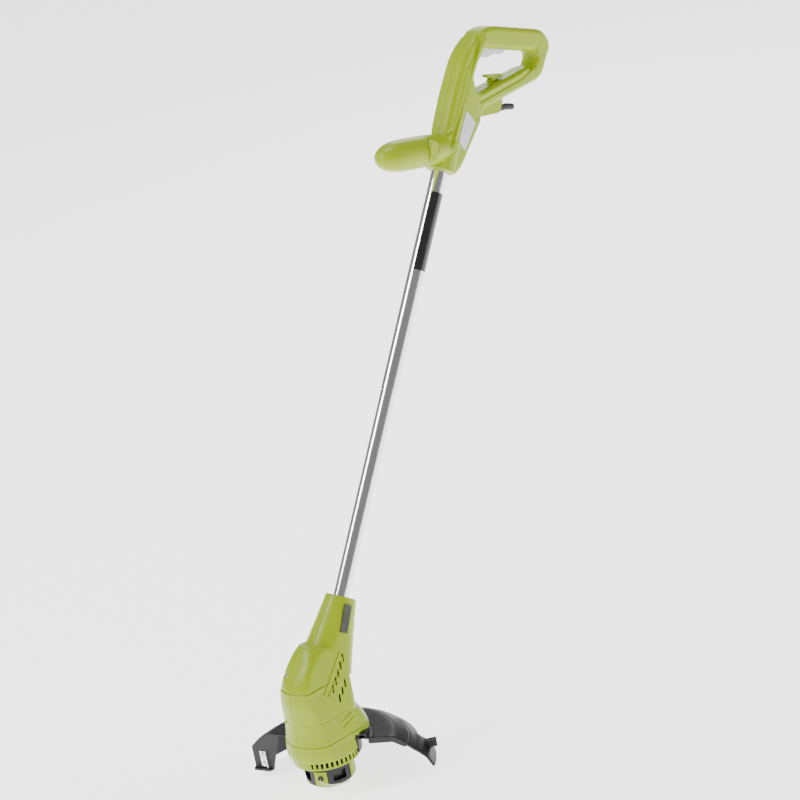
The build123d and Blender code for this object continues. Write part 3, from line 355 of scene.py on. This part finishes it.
def to_line(u, v, corners):
    """Unsigned distance of the points (u, v) from a polyline, and the side they are on."""
    best = np.full(len(u), 1e9)
    side = np.zeros(len(u))
    for (u0, v0), (u1, v1) in zip(corners, corners[1:]):
        du, dv = u1 - u0, v1 - v0
        share = np.clip(((u - u0) * du + (v - v0) * dv) / (du * du + dv * dv), 0, 1)
        gap = np.hypot(u - u0 - share * du, v - v0 - share * dv)
        closer = gap < best
        best = np.where(closer, gap, best)
        side = np.where(closer, du * (v - v0) - dv * (u - u0), side)
    return best, side


def groove(distance, half_width):
    """1 on the line, falling to 0 at half_width."""
    return 1 - ramp(distance, half_width * 0.25, half_width)


# Outlines on the handle's side: mm rearward of the tube's axis, mm up the tube.
SPINE_GROOVE = [(-13, 30), (-11, 54), (-8, 78), (-6, 103), (-6, 141), (-6, 176), (-4, 196)]
RIM_LINE = [(31, 106), (62, 131), (106, 166), (120, 184), (123, 205), (121, 226)]
CREASE = [(-66, 29), (-52, 29.5), (-36, 34), (-18, 42), (-12, 50)]
BUTTON_MIDDLE = (-48.0, 12.0)
PATCH_EDGES = [(30, 84), (86, 118)]
# The column's rounded front: the same two measures and its depth fore and aft.
SPINE_PATH = [(-5, 30, 14.5), (-5.5, 80, 14.5), (-5.5, 120, 14.5), (-2, 150, 14), (4, 172, 13.5),
              (12, 189, 13)]
SPINE_WIDE = 19.2
SPINE_TURNS = 20
# Depths of the handle's relief in mm.
HOLLOW_DEPTH = 3.4
RIM_DEPTH = 2.6
CREASE_DEPTH = 1.5
BUTTON_RIM = 0.9
PATCH_EDGE_DEPTH = 0.5
PATCH_RIB = 0.22
PATCH_RIB_PITCH = 3.4
SEAM_DEPTH = 0.25
SEAM_HALF_WIDTH = 0.7


def spine_volume(work, side):
    """Half of the column's rounded front, as a closed body that the remesh joins to the shell."""
    rings = []
    for index, (r, t, deep) in enumerate(SPINE_PATH):
        before = SPINE_PATH[max(index - 1, 0)]
        after = SPINE_PATH[min(index + 1, len(SPINE_PATH) - 1)]
        run = np.array((after[0] - before[0], after[1] - before[1]), float)
        run /= np.hypot(*run)
        across = np.array((run[1], -run[0]))
        ring = []
        for k in range(SPINE_TURNS + 1):
            angle = -np.pi / 2 + np.pi * k / SPINE_TURNS
            x = side * SPINE_WIDE * abs(cos(angle)) ** 0.9 if 0 < k < SPINE_TURNS else 0.0
            offset = deep * sin(angle)
            place = (r + across[0] * offset, t + across[1] * offset)
            point = HANDLE_ORIGIN + REAR_DIR * place[0] + TUBE_DIR * place[1] + np.array((x, 0, 0))
            ring.append(work.verts.new(tuple(point * MM)))
        rings.append(ring)
    for low, high in zip(rings, rings[1:]):
        for k in range(SPINE_TURNS + 1):
            after = (k + 1) % (SPINE_TURNS + 1)
            work.faces.new((low[k], low[after], high[after], high[k]))
    work.faces.new(rings[0])
    work.faces.new(rings[-1])
    bmesh.ops.recalc_face_normals(work, faces=work.faces)


def seam_move(x, normals):
    """The fine line where two half shells meet."""
    return SEAM_DEPTH * groove(np.abs(x), SEAM_HALF_WIDTH) * (np.abs(normals[:, 0]) < 0.6)


def shape_handle(points, normals):
    """The hollow behind the column's front, the recessed rim, the pommel's crease and the grip patches."""
    x, r, t = handle_frame(points)
    facing = np.sign(x) * normals[:, 0]
    outside = ramp(facing, -0.05, 0.45) * ramp(np.abs(x), 8, 11)
    move = np.zeros(len(x))
    gap, side = to_line(r, t, SPINE_GROOVE)
    behind = np.where(side < 0, gap, 0)
    deep = HOLLOW_DEPTH * (1 - ramp(t, 150, 198) * 0.4)
    hollow = (1 - ramp(behind, 3.0, 9.0)) * (side < 0) * ramp(t, 18, 40) * (1 - ramp(t, 186, 200))
    move -= deep * hollow * ramp(gap, 0, 0.6) * outside
    gap, side = to_line(r, t, RIM_LINE)
    inner = (side > 0) * (1 - ramp(gap, 0, 7.5))
    outer = (side <= 0) * (1 - 0.55 * ramp(gap, 0.4, 2.2))
    near = ramp(r, 26, 34) * (1 - ramp(t, 212, 228))
    move -= RIM_DEPTH * (inner + outer) * near * outside * (t > 84)
    gap, side = to_line(r, t, CREASE)
    move -= CREASE_DEPTH * (side > 0) * (1 - ramp(gap, 0.0, 7.0)) * ramp(np.abs(x), 4, 10) * (facing > -0.2)
    ring = np.hypot(r - BUTTON_MIDDLE[0], (t - BUTTON_MIDDLE[1]) * 0.62)
    move += BUTTON_RIM * groove(np.abs(ring - 12.2), 2.2) * ramp(x, 8, 12) * (facing > 0)
    grip = ramp(normals @ TUBE_DIR, 0.35, 0.6) * ramp(t - r * 0.3, 196, 200)
    for start, end in PATCH_EDGES:
        move -= PATCH_EDGE_DEPTH * grip * (groove(np.abs(r - start), 1.2) + groove(np.abs(r - end), 1.2))
        ribs = 0.5 + 0.5 * np.cos(2 * np.pi * (r - start) / PATCH_RIB_PITCH)
        move += PATCH_RIB * grip * ribs * ramp(r, start + 2, start + 3) * (1 - ramp(r, end - 3, end - 2))
    move -= seam_move(x, normals)
    return points + normals * move[:, None]


def plane_off(points, normals, through, direction, rounding=1.2, wall=1.5):
    """Points beyond a plane brought back to it: outer skin to the plane, inner skin a wall behind it."""
    direction = np.array(direction, float)
    direction /= np.linalg.norm(direction)
    skin = ramp(normals @ direction, -0.3, 0.2)
    height = (points - np.array(through, float)) @ direction + (1 - skin) * wall
    rounded = rounding * np.log1p(np.exp(np.minimum(height / rounding, 30)))
    beyond = np.where(height > 6 * rounding, height, rounded)
    return points - beyond[:, None] * direction


# Flats on the casing, in the head's frame: a point on each and its outward direction.
HEAD_PLANES = [
    ((0, -45.0, 112), (0, -0.74, 0.67)),
    ((0, -19.3, 205), (0, -0.93, 0.36)),
    ((36.5, 6, 120), (0.80, -0.22, 0.30)),
    ((-36.5, 6, 120), (-0.80, -0.22, 0.30)),
    ((19.5, 70, 200), (0.97, -0.10, 0.18)),
    ((-19.5, 70, 200), (-0.97, -0.10, 0.18)),
]
# Raised lines on the casing's side: y and z in the head's frame.
FRAME_LINE = [(-6, 92), (-9, 99), (34, 139), (36, 126), (-6, 92)]
RIB_LINES = [[(2, 54), (22, 60)], [(4, 47), (24, 53)], [(-2, 60), (2, 40)]]
STEP_Z = 111.0
BAND_Z = 67.0
LIP_Z = 36.0
LOBE_MIDDLE_Y = 4


def shape_head(points, normals):
    """The casing's flats, the steps round it, the frame of the side vents and the plain ribs."""
    local = points - HEAD_ORIGIN
    for through, direction in HEAD_PLANES:
        local = plane_off(local, normals, through, direction)
    x, y, z = local.T
    radial = np.hypot(x, y - LOBE_MIDDLE_Y)
    outward_share = (normals[:, 0] * x + normals[:, 1] * (y - LOBE_MIDDLE_Y)) / np.maximum(radial, 1)
    outside = ramp(outward_share, 0.1, 0.5)
    outside = outside * ramp(radial, 20, 24)
    move = np.zeros(len(x))
    move -= 1.0 * outside * groove(np.abs(z - STEP_Z), 2.0) * (1 - ramp(y, -8, 6))
    move += 0.6 * outside * ramp(z, 104, 110) * (1 - ramp(z, 110, STEP_Z)) * (1 - ramp(y, -8, 6))
    move -= 0.55 * outside * groove(np.abs(z - LIP_Z), 1.3)
    move += 0.5 * outside * ramp(z, 30, 35) * (1 - ramp(z, 35, 35.6))
    move -= 0.4 * outside * groove(np.abs(z - BAND_Z), 1.2) * (1 - ramp(y, 10, 20))
    gap, _ = to_line(y, z, FRAME_LINE)
    move += 1.1 * groove(gap, 1.7) * outside * (np.abs(normals[:, 0]) > 0.4)
    for line in RIB_LINES:
        gap, _ = to_line(y, z, line)
        move += 0.9 * groove(gap, 1.6) * outside * (normals[:, 0] > 0.4)
    move -= seam_move(x, normals)
    return local + HEAD_ORIGIN + normals * move[:, None]


CAP_DRAW = 0.24  # share of the radius lost at the cap's foot


def shape_cap(points, normals):
    """The cap's foot drawn in like a bowl, so that the knob shows below it."""
    local = points - HEAD_ORIGIN
    drawn = 1 - CAP_DRAW * ramp(-local[:, 2], 24, 38) ** 1.5
    keep = ramp(np.hypot(local[:, 0], local[:, 1]), 14, 20)
    share = 1 + (drawn - 1) * keep
    local[:, 0] *= share
    local[:, 1] *= share
    return local + HEAD_ORIGIN


BOOT_START, BOOT_T = 83.0, 117.5  # where the bend starts, in the handle's frame
BOOT_TURN, BOOT_TURN_RUN = 0.30, 22


def bend_boot(points, normals):
    """The strain relief's outer stretch turned up the tube, as the cord leaves it."""
    x, r, t = handle_frame(points)
    turn = BOOT_TURN * ramp(r, BOOT_START, BOOT_START + BOOT_TURN_RUN)
    out = np.maximum(r - BOOT_START, 0)
    height = t - BOOT_T
    new_r = np.where(out > 0, BOOT_START + out * np.cos(turn) - height * np.sin(turn), r)
    new_t = np.where(out > 0, BOOT_T + out * np.sin(turn) + height * np.cos(turn), t)
    moved = HANDLE_ORIGIN + np.outer(new_r, REAR_DIR) + np.outer(new_t, TUBE_DIR)
    moved[:, 0] = x
    return moved


GUARD_OUTER_GROOVE, GUARD_INNER_GROOVE = 113.0, 66.0


def shape_guard(points, normals):
    """Two fine grooves round the guard's top."""
    local = points - HEAD_ORIGIN
    radius = np.hypot(local[:, 0], local[:, 1])
    top = ramp(normals[:, 2], 0.2, 0.6)
    move = -0.45 * top * groove(np.abs(radius - GUARD_OUTER_GROOVE), 1.1)
    move -= 0.3 * top * groove(np.abs(radius - GUARD_INNER_GROOVE), 1.0)
    return points + normals * move[:, None]


soften("handle_left", 0.75, 4, shape_handle, spine_side=1)
soften("handle_right", 0.75, 4, shape_handle, spine_side=-1)
soften("head_left", 0.8, 4, shape_head)
soften("head_right", 0.8, 4, shape_head)
soften("guard", 0.85, 3, shape_guard)
soften("vent_ring", 0.55, 2)
soften("trigger", 0.5, 4)
soften("swivel_button", 0.4, 3)
soften("cord_hook", 0.5, 4)
soften("cord_boot", 0.4, 3, bend_boot)
soften("spool_drum", 0.5, 2)
soften("spool_cap", 0.45, 2, shape_cap)
soften("bump_knob", 0.4, 2)
soften("tube_decal", 0.12, 1)

# ---------------------------------------------------------------- studio
FLOOR_Z = -0.8125
FLOOR_REACH = 40.0
FLOOR_GLOW = 2.4
WORLD_LIGHT = 0.28
LIGHTS_AIM = (0, -0.35, -0.4)
corners = [(-1, -1), (1, -1), (1, 1), (-1, 1)]
floor_mesh = bpy.data.meshes.new("floor")
floor_mesh.from_pydata([(x * FLOOR_REACH, y * FLOOR_REACH, FLOOR_Z) for x, y in corners], [], [(0, 1, 2, 3)])
floor = bpy.data.objects.new("floor", floor_mesh)
scene.collection.objects.link(floor)
ground = Nodes("floor_paper")
paper = ground.mix(ground.noise(3, 2), (0.86, 0.86, 0.86), (0.88, 0.88, 0.88))
ground.link(paper, ground.shader.inputs["Base Color"])
ground.shader.inputs["Roughness"].default_value = 0.9
ground.shader.inputs["Emission Color"].default_value = (1, 1, 1, 1)
ground.shader.inputs["Emission Strength"].default_value = FLOOR_GLOW
floor_mesh.materials.append(ground.material)

world = bpy.data.worlds.new("studio")
world.use_nodes = True
world.node_tree.nodes["Background"].inputs["Color"].default_value = (1, 1, 1, 1)
world.node_tree.nodes["Background"].inputs["Strength"].default_value = WORLD_LIGHT
scene.world = world


def softbox(name, where, size, power):
    """An oblong light at where, turned to the object's middle."""
    light = bpy.data.lights.new(name, "AREA")
    light.shape = "RECTANGLE"
    light.size, light.size_y = size
    light.energy = power
    lamp = bpy.data.objects.new(name, light)
    lamp.location = where
    lamp.rotation_euler = (Vector(LIGHTS_AIM) - Vector(where)).to_track_quat("-Z", "Y").to_euler()
    scene.collection.objects.link(lamp)


softbox("key", (-1.4, -2.8, 2.2), (1.0, 1.8), 120)
softbox("side", (3.0, 1.6, 1.4), (0.5, 2.2), 28)
softbox("top", (-0.4, 0.2, 3.0), (1.4, 1.4), 55)
softbox("rear", (-2.0, 2.6, 1.4), (1.4, 2.0), 35)
